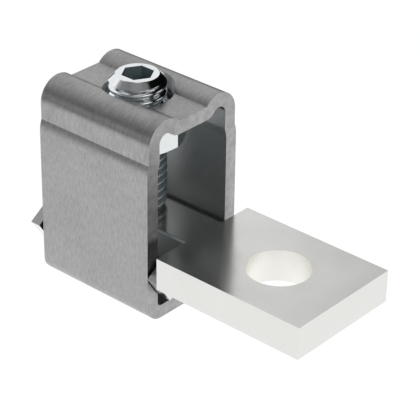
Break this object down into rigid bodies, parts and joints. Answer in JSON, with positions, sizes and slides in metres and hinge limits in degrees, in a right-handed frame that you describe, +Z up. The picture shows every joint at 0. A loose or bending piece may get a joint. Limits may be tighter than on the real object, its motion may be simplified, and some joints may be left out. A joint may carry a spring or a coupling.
{
  "type": "frame clamp cable connector",
  "caption": "Frame clamp with a pressure screw that draws a cable conductor against a roof-shaped terminal bar, whose flag bolts to a terminal.",
  "frame": {"origin": "centre of the bolt hole on the underside of the flag", "axes": "+X from the clamping screw towards the free end of the flag, +Z up along the bolt hole and the clamping screw, +Y across the bar"},
  "size_m": [0.0724, 0.0278, 0.0474],
  "materials": {
    "tinned_bar": "satin tin plating over a copper bar",
    "frame_steel": "grey steel strip with a fine brushed grain",
    "zinc_fastener": "bright zinc plating"
  },
  "bodies": {
    "terminal": {"terminal_bar": "tinned_bar"},
    "screw": {"clamping_screw": "zinc_fastener"},
    "clamp": {"frame": "frame_steel", "hex_nut": "zinc_fastener"}
  },
  "joints": [
    {"name": "screw_turn", "type": "hinge", "parent": "terminal", "child": "screw", "pos_m": [-0.038, 0, 0.0072], "axis": [0, 0, 1], "range_deg": [-505, 3169]},
    {"name": "frame_slide", "type": "slide", "parent": "terminal", "child": "clamp", "axis": [0, 0, 1], "range_m": [-0.0154, 0.00245]}
  ],
  "couplings": [
    {"joint": "screw_turn", "follows": "frame_slide", "rad_per_m": -3590.4}
  ]
}
